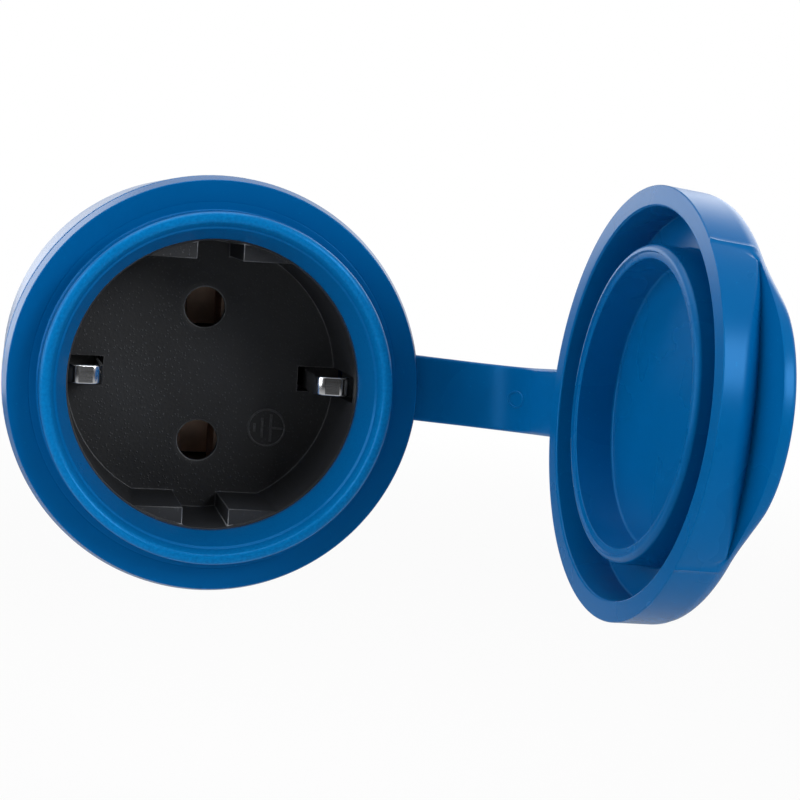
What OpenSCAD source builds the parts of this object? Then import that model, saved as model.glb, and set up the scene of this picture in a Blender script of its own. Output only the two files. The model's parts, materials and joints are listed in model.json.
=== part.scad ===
// Splash-proof earthed two-pin wall socket with a cap on a strap.
// Origin: centre of the back face, on the wall. +Z is up, the front faces -Y, the strap is at +X.

/* [Body] */
// Room for the wires between the back plate and the terminals
wire_space = 3.2; // [2.8:0.1:20]
// Narrowing of the base from the collar to the wall
base_taper = 0.8; // [0:0.1:2]
// Wall of the base at the wires
base_wall = 3.2; // [2:0.1:4]
// Thickness of the base's back plate
back_plate = 3; // [2.5:0.1:4]
// Distance between the two wall screws
wall_screw_spacing = 38; // [36:0.5:40]
// Diameter of a wall screw hole
wall_screw_d = 4.5; // [3.5:0.1:5.5]
// Diameter of the wall screw's head recess
wall_screw_head_d = 8; // [6.5:0.1:9]
// Diameter of a post that carries the insert
post_d = 5; // [4:0.1:6]
// Place of the first post, the second is opposite
post_place = [-15, 12];

/* [Collar] */
// Width of the flange around the lip
flange_w = 4.65; // [4:0.05:8]
// Thickness of the flange
flange_thick = 2.4; // [2.2:0.1:4]
// Widening of the flange's edge from its front to its back
flange_draft = 0.6; // [0.1:0.1:1.5]
// Rounding of the flange's front edge
flange_round = 0.2; // [0.1:0.05:0.8]
// Height of the lip above the flange
lip_height = 4.8; // [4.2:0.1:7]
// Thickness of the lip at its step
lip_wall = 2.15; // [1.9:0.05:3]
// Rounding of the lip's outer top edge
lip_round = 1.1; // [0.5:0.1:1.4]
// Widening of the lip's bore from the ledge to its step
lip_slope = 1.65; // [1:0.05:2.5]
// Depth of that step below the lip's top
lip_step_depth = 1.5; // [1:0.1:2]
// Broken edge of the lip's step
lip_break = 0.15; // [0.1:0.05:0.3]
// How much wider than the recess the lip's bore is at the ledge
ledge_over = 0.25; // [0.1:0.05:0.6]
// Depth of the ledge below the lip's top
ledge_depth = 5.7; // [5:0.1:7]
// Thickness of the ledge over the insert
ledge_thick = 1; // [0.8:0.1:1.5]
// Groove around the lip's root, distance from the lip
root_groove_gap = 1.0; // [0.6:0.1:1.5]
// Width of that groove
root_groove_w = 0.3; // [0.2:0.1:1]
// Depth of that groove
root_groove_depth = 0.15; // [0.1:0.05:0.6]
// Length of the neck behind the flange
neck_length = 13; // [10:0.5:14]
// Wall of the neck
neck_wall = 3.05; // [2.6:0.05:4]
// Clearance between the neck and the base
neck_clearance = 0.25; // [0.15:0.05:0.4]

/* [Seals] */
// Section diameter of the neck's seal
neck_seal_d = 1.5; // [1.2:0.1:1.8]
// Distance of the seal behind the base's front edge
neck_seal_depth = 5; // [4:0.5:7]
// Thickness of the insert's flat seal
insert_seal_thick = 0.7; // [0.5:0.1:1]
// Width of the cup's nose inside the flat seal
cup_nose = 0.7; // [0.6:0.05:0.9]
// Clearance around the seals
seal_clearance = 0.05; // [0.02:0.01:0.1]

/* [Strap] */
// Width of the strap
strap_w = 9; // [6:0.1:11]
// Thickness of the strap
strap_thick = 1.8; // [1.2:0.1:1.9]
// Thickness of the loop behind the flange
loop_thick = 1.9; // [1.9:0.1:2.6]
// How far the loop lies inside the flange's edge
loop_inset = 0.3; // [0.2:0.1:2]
// How far the loop's tongue reaches past the flange before the strap leans
tongue_out = 0.4; // [0.2:0.1:1]
// Clearance around the loop
loop_clearance = 0.1; // [0.1:0.05:0.3]
// Radius of the strap's bend
strap_bend_r = 9.6; // [8:0.1:12]
// Turn of the loop on the neck
strap_turn = 1; // [-10:0.5:10]
// Distance of the bending line from the flange's edge
hinge_out = 12.8; // [11:0.1:18]
// Depth of the bending line below the lip's top
hinge_depth = 5.2; // [4.8:0.1:5.6]
// Lean of the bending line towards the wall
hinge_lean = 4.9; // [0:0.1:8]
// Gap at the bending line between the strap's halves
hinge_gap = 0.6; // [0.3:0.05:0.8]

/* [Lid] */
// Angle at which the lid stands open
lid_open = 95.6; // [80:0.1:110]
// Height of the closed lid's rim above the flange
lid_gap = 0.3; // [0.2:0.05:0.6]
// Thickness of the skirt at its rim
skirt_wall = 2.6; // [2:0.1:4]
// Clearance between the skirt and the lip
skirt_clearance = 0.35; // [0.3:0.05:0.6]
// Height of the skirt up to the shoulder
skirt_h = 5; // [4.5:0.1:7]
// Draft of the skirt over its height
skirt_draft = 0.2; // [0.1:0.1:0.5]
// Rounding of the shoulder
shoulder_r = 2.5; // [2.2:0.1:3]
// Rise of the lid's top from the shoulder to its middle
crown_rise = 0.5; // [0.2:0.1:2]
// Clearance between the sealing ring and the lip's bore at the ledge
ring_clearance = 0.35; // [0.25:0.05:1]
// Wall of the sealing ring
ring_wall = 1.8; // [1.4:0.1:2.4]
// Chamfer of the sealing ring's end
ring_chamfer = 0.5; // [0.2:0.1:0.7]
// Height of the fine step on the ring's end
ring_step = 0.25; // [0.1:0.05:0.4]
// Depth of the lid's inside
lid_depth = 5.3; // [5:0.1:5.6]
// How far the thumb tab stands out
tab_reach = 3.5; // [2:0.1:6]
// Thickness of the thumb tab at its edge
tab_edge = 1.6; // [1.2:0.1:2.5]
// Height at which the tab's hollow leaves the skirt
tab_root_h = 3.4; // [3:0.1:4]
// Half of the angle over which the thumb tab leaves the skirt
tab_span = 45; // [40:1:55]

/* [Insert] */
// Radius of the recess at its front
recess_front_r = 19.5; // [19.4:0.05:22]
// Narrowing of the recess towards its floor
recess_draft = 0.4; // [0.1:0.05:0.8]
// Depth of the recess, from the ledge to the floor
recess_depth = 17.5; // [17:0.1:19]
// Wall of the cup at its front
cup_wall = 2; // [1.8:0.1:2]
// Thickness of the floor
floor_thick = 2.6; // [2.2:0.1:3.2]
// Clearance between the cup and the collar
cup_clearance = 0.2; // [0.1:0.05:0.3]
// Distance between the two pins
pin_spacing = 19; // [18.8:0.1:19.2]
// Diameter of a pin hole
pin_hole_d = 6.2; // [5.5:0.1:6.5]
// Chamfer of a pin hole
pin_hole_chamfer = 0.45; // [0.2:0.05:0.8]
// Distance between the flats of the guide blocks
guide_flat = 33.7; // [33:0.1:35]
// Width of the notch between the guide blocks
guide_notch = 6.2; // [5:0.1:7]
// Distance of the guide blocks from the cup's front
guide_front = 0.4; // [0.2:0.1:2]
// Width of a clip slot
clip_slot_w = 3.5; // [3.2:0.1:4.5]
// Distance from the axis to the inner end of a clip slot
clip_slot_r = 13.9; // [11:0.1:14.2]
// Depth of the clip channel in the cup's wall
clip_channel = 1.2; // [0.8:0.1:1.4]

/* [Contacts] */
// Width of the earth strip
earth_w = 2.7; // [2:0.1:3]
// Thickness of the earth strip
earth_thick = 0.6; // [0.4:0.05:0.8]
// Distance of a clip's foot from the recess's edge
clip_foot_inset = 2.9; // [2:0.1:4]
// Distance of a clip's knee from the recess's edge
clip_knee_inset = 4.5; // [3:0.1:4.8]
// Distance of a clip's end from the recess's edge
clip_inset = 0.7; // [0.5:0.1:2]
// Height of a clip's knee above the floor
clip_knee_h = 8; // [6:0.1:10]
// Radius of the bend at a clip's knee
clip_knee_r = 4; // [2:0.1:6]
// Depth of a clip's end below the cup's front
clip_top_depth = 2.3; // [2:0.1:4]
// Thickness of the contact strip
contact_thick = 0.8; // [0.6:0.05:1]
// Width of a contact's leaves
contact_w = 6; // [5:0.1:6.6]
// Gap between the leaves at their mouth
contact_mouth = 5.4; // [5:0.1:5.8]
// Gap between the leaves where they grip a pin
contact_pinch = 4; // [3.6:0.1:4.6]
// Distance of a contact's mouth below the floor
contact_drop = 1; // [0.8:0.1:1.5]
// Distance of a terminal screw from the pin's centre
terminal_offset = 12; // [11.5:0.1:12.5]
// Side of a terminal block
terminal_side = 6; // [5.6:0.1:6.4]
// Height of a live or neutral terminal block
terminal_h = 3.4; // [3:0.1:4]
// Distance of the earth terminal from the axis
earth_terminal_x = 11; // [10.5:0.1:11.5]
// Diameter of a terminal screw
terminal_screw_d = 3; // [2.6:0.1:3.4]
// Diameter of a terminal screw's head
terminal_head_d = 5.6; // [5:0.1:5.8]
// Height of a terminal screw's head
terminal_head_h = 1.9; // [1.6:0.1:2]
// Thickness of a clamp plate
clamp_thick = 1; // [0.8:0.1:1.2]
// Room for a wire under a clamp plate
wire_room = 0.6; // [0.4:0.1:0.8]
// Clearance of a screw in its hole
screw_clearance = 0.15; // [0.1:0.05:0.25]

/* [Carrier] */
// How far the terminal body lies inside the cup's edge
carrier_inset = 1.2; // [0.5:0.1:2]
// Height of the terminal body
carrier_h = 9.9; // [9.5:0.1:10.2]
// Clearance of a contact in its pocket
pocket_clearance = 0.3; // [0.2:0.05:0.5]
// Place of the first insert screw, the second is opposite
insert_screw_place = [-9, 13];
// Diameter of an insert screw
insert_screw_d = 2.9; // [2.5:0.1:3.2]
// Diameter of an insert screw's head
insert_head_d = 5.2; // [4.6:0.1:5.6]
// Height of an insert screw's head
insert_head_h = 2; // [1.6:0.1:2.2]
// Diameter of a screw boss under the floor
boss_d = 5.2; // [4.8:0.1:5.6]
// Length of a screw boss under the floor
boss_h = 5; // [4:0.1:6]

/* [Cable entry] */
// Diameter of the entry in the back plate
entry_d = 13; // [11:0.5:15]
// Diameter of the grommet's flanges
grommet_d = 16; // [15.5:0.5:16]
// Thickness of the grommet's rear flange, sunk into the back plate
grommet_rear = 1.2; // [1:0.1:1.4]
// Thickness of the grommet's inner flange
grommet_front = 1; // [0.8:0.1:1.4]
// Diameter of the grommet's bore
grommet_bore_d = 8; // [6:0.5:9]
// Clearance of the grommet in the back plate
grommet_clearance = 0.1; // [0.05:0.05:0.2]

/* [Hidden] */
$fn = 96;

blue = "#0b62ab";
black = "#1b1b1d";
rubber = "#202224";
plated = "#c9cdd2";
brass = "#b98d43";

// Overlap of a cut past the face it opens
cut = 1;
// Steps along an arc
arc_steps = 16;

// Gap between the floor and the terminal body
floor_gap = 0.1;
// Distance of a contact's tail in from the terminal body's rear
tail_sink = 1.2;
// Height of the contacts' pinch, as a share of the leaf
pinch_share = 0.7;
// Gap between a screw's end and the bottom of its hole
thread_gap = 0.4;
// Gap between a screw boss and the bottom of its seat
boss_gap = 0.2;
// Width and depth of a screw's slot
screw_slot = [0.8, 0.9];
// How far the tab's straight sides start inside its round ends
tab_overlap = 0.02;
// Chamfer of the grommet's inner flange
grommet_chamfer = 0.6;

// Levels along the socket's axis, from the wall
carrier_z = back_plate + wire_space;
carrier_top_z = carrier_z + carrier_h;
floor_back_z = carrier_top_z + floor_gap;
floor_z = floor_back_z + floor_thick;
ledge_z = floor_z + recess_depth;
cup_z = ledge_z - ledge_thick;
lip_z = ledge_z + ledge_depth;
flange_z = lip_z - lip_height;
flange_back_z = flange_z - flange_thick;
base_z = flange_back_z - loop_thick - loop_clearance * 2;
neck_z = flange_back_z - neck_length;
loop_mid_z = flange_back_z - loop_clearance - loop_thick / 2;
hinge_z = lip_z - hinge_depth;
rim_z = flange_z + lid_gap;

// Radii, from the recess outwards
recess_floor_r = recess_front_r - recess_draft;
cup_r = recess_front_r + cup_wall;
cup_bore_r = cup_r + cup_clearance;
neck_r = cup_bore_r + neck_wall;
base_bore_r = neck_r + neck_clearance;
carrier_r = cup_r - carrier_inset;
ledge_r = recess_front_r + ledge_over;
lip_step_r = ledge_r + lip_slope;
lip_r = lip_step_r + lip_wall;
flange_r = lip_r + flange_w;
base_front_r = flange_r;
base_wall_r = base_front_r - base_taper;
cavity_r = base_wall_r - base_wall;
loop_r = flange_r - loop_inset;
hinge_x = flange_r + hinge_out;
neck_seal_r = base_bore_r - seal_clearance - neck_seal_d / 2;
neck_groove_r = neck_seal_r - neck_seal_d / 2 - seal_clearance;
neck_seal_z = base_z - neck_seal_depth;
neck_groove_w = neck_seal_d + seal_clearance * 4;
insert_seal_r = recess_front_r + cup_nose;
nose_r = insert_seal_r - seal_clearance;
lip_top_r = lip_r - lip_round;
lip_inner_r = (lip_top_r + lip_step_r) / 2 + lip_break;

// Levels of the contacts
tail_z = carrier_z + tail_sink;
tail_top_z = tail_z + contact_thick;
mouth_z = floor_back_z - contact_drop;
bridge_z = carrier_top_z - earth_thick - floor_gap;
clamp_z = tail_z - wire_room - clamp_thick;
head_z = clamp_z - terminal_head_h;

// Lid outline, distances from the axis and heights above the rim
skirt_inner_r = lip_r + skirt_clearance;
skirt_r = skirt_inner_r + skirt_wall;
ring_r = ledge_r - ring_clearance;
skirt_angle = atan(skirt_draft / skirt_h);
shoulder_x = skirt_r - skirt_draft - shoulder_r * cos(skirt_angle);
shoulder_y = skirt_h - shoulder_r * sin(skirt_angle);
top_h = shoulder_y + shoulder_r;
crown_radius = (pow(shoulder_x, 2) + pow(crown_rise, 2)) / (2 * crown_rise);
crown_turn = asin(shoulder_x / crown_radius);
ring_inner_r = ring_r - ring_wall;
ring_mid_r = ring_r - ring_wall / 2;

// Thumb tab: a hollow under its edge, tangent to the skirt
tab_r = skirt_r + tab_reach;
tab_edge_h = top_h - tab_edge;
tab_hollow_from = [skirt_r - skirt_draft, tab_root_h];
tab_hollow_to = [tab_r, tab_edge_h];
tab_hollow = tab_hollow_to - tab_hollow_from;
tab_hollow_half = atan2(tab_hollow[0], tab_hollow[1]);
tab_hollow_r = norm(tab_hollow) / (2 * sin(tab_hollow_half));
tab_base_r = skirt_r - skirt_draft;
tab_nose_x = (tab_r - tab_base_r) / (1 - cos(tab_span));
tab_nose_r = tab_r - tab_nose_x;

// Strap, seen along the bending line, x outwards and y backwards
strap_rise = (hinge_z - loop_mid_z) / cos(hinge_lean);
bend_run = sqrt(pow(strap_bend_r, 2) - pow(strap_bend_r - strap_rise, 2));
bend_turn = acos((strap_bend_r - strap_rise) / strap_bend_r);
bend_centre = [-bend_run, strap_rise - strap_bend_r];
end_turn = 180 - lid_open;
end_from = bend_centre + strap_bend_r * [cos(90 - end_turn), sin(90 - end_turn)];
end_dir = [cos(end_turn), -sin(end_turn)];
end_run = hinge_x - skirt_r;

function arc(centre, r, from, to, steps = arc_steps) =
    [for (i = [0:steps]) let (a = from + (to - from) * i / steps) centre + r * [cos(a), sin(a)]];

// Outline of a strip of the given thickness from a to c, bent round to the right at b
function bent_strip(a, b, c, r, thick) =
    let (
        way_in = (b - a) / norm(b - a),
        way_out = (c - b) / norm(c - b),
        side_in = [way_in[1], -way_in[0]],
        side_out = [way_out[1], -way_out[0]],
        from = 180 + atan2(side_in[1], side_in[0]),
        to = 180 + atan2(side_out[1], side_out[0]),
        centre = b - way_in * r * tan((from - to) / 2) + side_in * r
    )
    concat(
        [a - side_in * thick / 2],
        arc(centre, r + thick / 2, from, to, 8),
        [c - side_out * thick / 2, c + side_out * thick / 2],
        arc(centre, r - thick / 2, to, from, 8),
        [a + side_in * thick / 2]);

// The strap's root half: straight out of the loop, then into the bend
root_x = flange_r - hinge_x;
root_outline = concat(
    [[root_x, strap_rise + strap_thick / 2]],
    arc(bend_centre, strap_bend_r + strap_thick / 2, 90, 90 - bend_turn),
    arc(bend_centre, strap_bend_r - strap_thick / 2, 90 - bend_turn, 90),
    [[root_x, strap_rise - strap_thick / 2]]);

// The lid's half: on through the bend to the lid's plane, then straight to the skirt
end_side = [sin(end_turn), cos(end_turn)] * strap_thick / 2;
end_far = end_from + end_dir * end_run;
end_outline = concat(
    arc(bend_centre, strap_bend_r + strap_thick / 2, 90 - bend_turn, 90 - end_turn),
    [end_far + end_side, end_far - end_side],
    arc(bend_centre, strap_bend_r - strap_thick / 2, 90 - end_turn, 90 - bend_turn),
    [for (i = [1:11]) let (a = 270 - bend_turn - 15 * i) [cos(a), sin(a)] * strap_thick / 2]);

// Turns the socket's axis from +Z to the front of the wall
module on_wall() {
    rotate([90, 0, 0])
        children();
}

// The bending line as local Z, at the socket's loop
module at_hinge() {
    rotate([0, 0, strap_turn])
        translate([hinge_x, 0, hinge_z])
            rotate([-90 - hinge_lean, 0, 0])
                children();
}

// Turns what is drawn closed about the bending line
module swung_open(angle) {
    at_hinge()
        rotate([0, 0, angle])
            rotate([90 + hinge_lean, 0, 0])
                translate([-hinge_x, 0, -hinge_z])
                    children();
}

module both_sides() {
    children();
    rotate([0, 0, 180])
        children();
}

module tube(r_out, r_in, h) {
    difference() {
        cylinder(r = r_out, h = h);
        translate([0, 0, -cut])
            cylinder(r = r_in, h = h + 2 * cut);
    }
}

module base_box() {
    color(blue)
        on_wall()
            difference() {
                union() {
                    difference() {
                        cylinder(r1 = base_wall_r, r2 = base_front_r, h = base_z);
                        translate([0, 0, back_plate])
                            cylinder(r = cavity_r, h = base_z);
                        translate([0, 0, carrier_top_z])
                            cylinder(r = base_bore_r, h = base_z);
                    }
                    both_sides()
                        translate([post_place[0], post_place[1], back_plate - cut])
                            cylinder(d = post_d, h = carrier_z - back_plate + cut);
                }
                both_sides()
                    translate([wall_screw_spacing / 2, 0, -cut]) {
                        cylinder(d = wall_screw_d, h = back_plate + 2 * cut);
                        translate([0, 0, back_plate])
                            cylinder(d1 = wall_screw_d, d2 = wall_screw_head_d, h = cut);
                    }
                translate([0, 0, -cut])
                    cylinder(d = entry_d, h = back_plate + 2 * cut);
                translate([0, 0, -cut])
                    cylinder(d = grommet_d + 2 * grommet_clearance, h = grommet_rear + cut);
            }
}

module front_collar() {
    groove_in = lip_r + root_groove_gap;
    lip_arc = arc([lip_top_r, lip_z - lip_round], lip_round, 0, 90, 8);
    flange_angle = atan(flange_draft / flange_thick);
    flange_front_r = flange_r - flange_draft - flange_round * tan(45 - flange_angle / 2);
    flange_arc = arc([flange_front_r, flange_z - flange_round], flange_round, flange_angle, 90, 8);
    color(blue)
        on_wall()
            rotate_extrude()
                polygon(concat(
                    [[cup_bore_r, neck_z], [neck_r, neck_z],
                        [neck_r, neck_seal_z - neck_groove_w / 2],
                        [neck_groove_r, neck_seal_z - neck_groove_w / 2],
                        [neck_groove_r, neck_seal_z + neck_groove_w / 2],
                        [neck_r, neck_seal_z + neck_groove_w / 2],
                        [neck_r, flange_back_z], [flange_r, flange_back_z]],
                    flange_arc,
                    [[groove_in + root_groove_w, flange_z],
                        [groove_in + root_groove_w, flange_z - root_groove_depth],
                        [groove_in, flange_z - root_groove_depth], [groove_in, flange_z],
                        [lip_r, flange_z]],
                    lip_arc,
                    [[lip_inner_r, lip_z - lip_break],
                        [lip_step_r + lip_break, lip_z - lip_step_depth],
                        [lip_step_r - lip_break, lip_z - lip_step_depth - lip_break],
                        [ledge_r, ledge_z], [ledge_r, cup_z], [cup_bore_r, cup_z]]));
}

module neck_seal() {
    color(rubber)
        on_wall()
            translate([0, 0, neck_seal_z])
                rotate_extrude()
                    translate([neck_seal_r, 0])
                        circle(d = neck_seal_d, $fn = 32);
}

module insert_seal() {
    color(rubber)
        on_wall()
            translate([0, 0, cup_z - insert_seal_thick])
                tube(cup_r, insert_seal_r, insert_seal_thick - seal_clearance);
}

module strap_ring() {
    color(blue)
        on_wall()
            difference() {
                union() {
                    translate([0, 0, loop_mid_z - loop_thick / 2])
                        cylinder(r = loop_r, h = loop_thick);
                    rotate([0, 0, strap_turn])
                        translate([0, -strap_w / 2, loop_mid_z - strap_thick / 2])
                            cube([flange_r + tongue_out, strap_w, strap_thick]);
                    at_hinge()
                        translate([0, 0, -strap_w / 2])
                            linear_extrude(strap_w)
                                polygon(root_outline);
                }
                cylinder(r = neck_r + loop_clearance, h = lip_z);
                at_hinge()
                    cylinder(r = strap_thick / 2 + hinge_gap, h = strap_w * 2, center = true);
            }
}

module strap_end() {
    color(blue)
        on_wall()
            difference() {
                at_hinge()
                    translate([0, 0, -strap_w / 2])
                        linear_extrude(strap_w)
                            polygon(end_outline);
                swung_open(lid_open)
                    translate([0, 0, rim_z])
                        skirt_form();
            }
}

// The skirt's tapered outside, filled
module skirt_form() {
    translate([0, 0, -cut])
        cylinder(r1 = skirt_r + cut * tan(skirt_angle), r2 = skirt_r - skirt_draft, h = skirt_h + cut);
}

module lid_shell() {
    rotate_extrude()
        polygon(concat(
            [[0, 0], [skirt_r, 0]],
            arc([shoulder_x, shoulder_y], shoulder_r, skirt_angle, 90 - crown_turn, 8),
            arc([0, top_h + crown_rise - crown_radius], crown_radius, 90 - crown_turn, 90, 8)));
}

// The tab seen from above: a round nose, and straight sides that run into the skirt
module tab_plan() {
    start = (tab_base_r - tab_overlap) * [cos(tab_span), sin(tab_span)];
    end = [tab_nose_x, 0] + (tab_nose_r - tab_overlap) * [cos(tab_span), sin(tab_span)];
    translate([tab_nose_x, 0])
        circle(r = tab_nose_r);
    polygon([[0, 0], [start[0], -start[1]], [end[0], -end[1]], end, start]);
}

// The tab's section turned about the axis, within its outline from above
module thumb_tab() {
    centre = tab_hollow_from + [tab_hollow_r, 0];
    intersection() {
        rotate_extrude()
            polygon(concat(
                [[shoulder_x, top_h], [shoulder_x, tab_root_h]],
                arc(centre, tab_hollow_r, 180, 180 - 2 * tab_hollow_half, 10),
                [[tab_r + cut, tab_edge_h], [tab_r + cut, top_h]]));
        linear_extrude(top_h + cut)
            tab_plan();
    }
}

module lid() {
    color(blue)
        on_wall()
            swung_open(lid_open)
                translate([0, 0, rim_z])
                    difference() {
                        union() {
                            lid_shell();
                            mirror([1, 0, 0])
                                thumb_tab();
                        }
                        translate([0, 0, -cut])
                            tube(skirt_inner_r, ring_r, lid_depth + cut);
                        translate([0, 0, -cut])
                            cylinder(r = ring_inner_r, h = lid_depth + cut);
                        translate([0, 0, -cut])
                            cylinder(r = ring_mid_r, h = ring_step + cut);
                        difference() {
                            translate([0, 0, -cut])
                                cylinder(r = ring_r + skirt_clearance, h = ring_chamfer + cut);
                            translate([0, 0, -cut])
                                cylinder(r1 = ring_r - ring_chamfer - cut, r2 = ring_r,
                                    h = ring_chamfer + cut);
                        }
                    }
}

module guide_block() {
    intersection() {
        translate([0, 0, floor_z - cut / 2])
            cylinder(r = nose_r, h = cup_z - guide_front - floor_z + cut / 2);
        difference() {
            translate([-recess_front_r, guide_flat / 2, floor_z - cut / 2])
                cube([recess_front_r * 2, recess_front_r, recess_depth]);
            translate([-guide_notch / 2, 0, floor_z - cut])
                cube([guide_notch, recess_front_r * 2, recess_depth + cut]);
        }
    }
}

module pin_hole() {
    translate([0, pin_spacing / 2, floor_back_z - cut])
        cylinder(d = pin_hole_d, h = floor_thick + 2 * cut);
    translate([0, pin_spacing / 2, floor_z - pin_hole_chamfer])
        cylinder(d1 = pin_hole_d, d2 = pin_hole_d + 4 * pin_hole_chamfer, h = 2 * pin_hole_chamfer);
}

module clip_slot() {
    translate([clip_slot_r, -clip_slot_w / 2, floor_back_z - cut])
        cube([recess_front_r + clip_channel - clip_slot_r, clip_slot_w,
            cup_z - floor_back_z - insert_seal_thick]);
}

module insert_cup() {
    color(black)
        on_wall()
            difference() {
                union() {
                    difference() {
                        union() {
                            translate([0, 0, floor_back_z])
                                cylinder(r = cup_r, h = cup_z - insert_seal_thick - floor_back_z);
                            translate([0, 0, floor_back_z])
                                cylinder(r = nose_r, h = cup_z - floor_back_z);
                        }
                        translate([0, 0, floor_z])
                            cylinder(r1 = recess_floor_r, r2 = recess_front_r, h = cup_z - floor_z);
                        translate([0, 0, cup_z])
                            cylinder(r = recess_front_r, h = cut);
                    }
                    both_sides()
                        guide_block();
                    both_sides()
                        translate([insert_screw_place[0], insert_screw_place[1],
                            floor_back_z - boss_h])
                            cylinder(d = boss_d, h = boss_h + cut);
                }
                both_sides()
                    pin_hole();
                both_sides()
                    clip_slot();
                both_sides()
                    translate([insert_screw_place[0], insert_screw_place[1],
                        floor_back_z - boss_h - cut])
                        cylinder(d = insert_screw_d + 2 * screw_clearance, h = boss_h + cut);
            }
}

// Room for one pole's clip, tail, terminal and clamp, open to the rear
module pole_pocket() {
    room = pocket_clearance;
    clip_x = contact_mouth / 2 + contact_thick + room;
    translate([-clip_x, pin_spacing / 2 - contact_w / 2 - room, carrier_z - cut])
        cube([2 * clip_x, contact_w + 2 * room, carrier_h + 2 * cut]);
    translate([0, pin_spacing / 2 - terminal_side / 2 - room, carrier_z - cut])
        cube([terminal_offset + terminal_side / 2 + room, terminal_side + 2 * room,
            tail_top_z + terminal_h + room - carrier_z + cut]);
}

module earth_pocket() {
    room = pocket_clearance;
    translate([-earth_terminal_x - terminal_side / 2 - room, -terminal_side / 2 - room,
        carrier_z - cut])
        cube([terminal_side + 2 * room, terminal_side + 2 * room, carrier_h + 2 * cut]);
    translate([-carrier_r - cut, -clip_slot_w / 2, bridge_z - floor_gap])
        cube([2 * (carrier_r + cut), clip_slot_w, carrier_h]);
}

module terminal_body() {
    color(black)
        on_wall()
            difference() {
                translate([0, 0, carrier_z])
                    cylinder(r = carrier_r, h = carrier_h);
                both_sides()
                    pole_pocket();
                earth_pocket();
                both_sides()
                    translate([insert_screw_place[0], insert_screw_place[1], carrier_z - cut]) {
                        cylinder(d = insert_screw_d + 2 * screw_clearance, h = carrier_h);
                        translate([0, 0, floor_back_z - boss_h - carrier_z + cut - boss_gap])
                            cylinder(d = boss_d + 2 * screw_clearance, h = carrier_h);
                    }
            }
}

// One folded strip: two leaves that grip the pin, the web that joins them and the terminal's tail
module pole_contact() {
    mouth_x = contact_mouth / 2;
    pinch_x = contact_pinch / 2;
    pinch_z = tail_z + (mouth_z - tail_z) * pinch_share;
    leaf = [[mouth_x, tail_z], [pinch_x, pinch_z], [mouth_x, mouth_z]];
    outside = [for (i = [2:-1:0]) leaf[i] + [contact_thick, 0]];
    difference() {
        union() {
            translate([0, pin_spacing / 2 + contact_w / 2, 0])
                rotate([90, 0, 0])
                    linear_extrude(contact_w) {
                        polygon(concat(leaf, outside));
                        mirror([1, 0])
                            polygon(concat(leaf, outside));
                        translate([-mouth_x - contact_thick / 2, tail_z])
                            square([contact_mouth + contact_thick, contact_thick]);
                    }
            translate([0, pin_spacing / 2 - contact_w / 2, tail_z])
                cube([terminal_offset + terminal_side / 2, contact_w, contact_thick]);
        }
        translate([terminal_offset, pin_spacing / 2, tail_z - cut])
            cylinder(d = terminal_screw_d + 2 * screw_clearance, h = contact_thick + 2 * cut);
    }
}

module live_contact() {
    color(brass)
        on_wall()
            pole_contact();
}

module neutral_contact() {
    color(brass)
        on_wall()
            rotate([0, 0, 180])
                pole_contact();
}

// Distance of a clip's foot from the axis
clip_foot_r = recess_front_r - clip_foot_inset;

module earth_clip() {
    foot = [clip_foot_r, bridge_z + earth_thick / 2];
    knee = [recess_front_r - clip_knee_inset, floor_z + clip_knee_h];
    end = [recess_front_r - clip_inset, cup_z - clip_top_depth];
    translate([0, earth_w / 2, 0])
        rotate([90, 0, 0])
            linear_extrude(earth_w)
                polygon(bent_strip(foot, knee, end, clip_knee_r, earth_thick));
}

module earth_spring() {
    color(plated)
        on_wall() {
            both_sides()
                earth_clip();
            translate([-clip_foot_r - earth_thick / 2, -earth_w / 2, bridge_z])
                cube([2 * clip_foot_r + earth_thick, earth_w, earth_thick]);
        }
}

module terminal_block(z, h) {
    difference() {
        translate([-terminal_side / 2, -terminal_side / 2, z])
            cube([terminal_side, terminal_side, h]);
        translate([0, 0, z - cut])
            cylinder(d = terminal_screw_d + 2 * screw_clearance, h = h);
    }
}

module live_terminal() {
    color(brass)
        on_wall()
            translate([terminal_offset, pin_spacing / 2, 0])
                terminal_block(tail_top_z, terminal_h);
}

module neutral_terminal() {
    color(brass)
        on_wall()
            translate([-terminal_offset, -pin_spacing / 2, 0])
                terminal_block(tail_top_z, terminal_h);
}

module earth_terminal() {
    color(brass)
        on_wall()
            translate([-earth_terminal_x, 0, 0])
                terminal_block(tail_z, bridge_z - tail_z);
}

// Centres of the three terminal screws
terminal_places = [[terminal_offset, pin_spacing / 2], [-terminal_offset, -pin_spacing / 2],
    [-earth_terminal_x, 0]];

module terminal_screws() {
    shank = tail_top_z + terminal_h - cut - thread_gap - head_z;
    color(plated)
        on_wall()
            for (place = terminal_places)
                translate([place[0], place[1], head_z])
                    difference() {
                        union() {
                            cylinder(d = terminal_head_d, h = terminal_head_h);
                            cylinder(d = terminal_screw_d, h = shank);
                        }
                        translate([-terminal_head_d, -screw_slot[0] / 2, -cut])
                            cube([terminal_head_d * 2, screw_slot[0], screw_slot[1] + cut]);
                    }
}

module clamp_plates() {
    color(plated)
        on_wall()
            for (place = terminal_places)
                translate([place[0], place[1], clamp_z])
                    difference() {
                        translate([-terminal_side / 2, -terminal_side / 2, 0])
                            cube([terminal_side, terminal_side, clamp_thick]);
                        translate([0, 0, -cut])
                            cylinder(d = terminal_screw_d + 2 * screw_clearance,
                                h = clamp_thick + 2 * cut);
                    }
}

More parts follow.
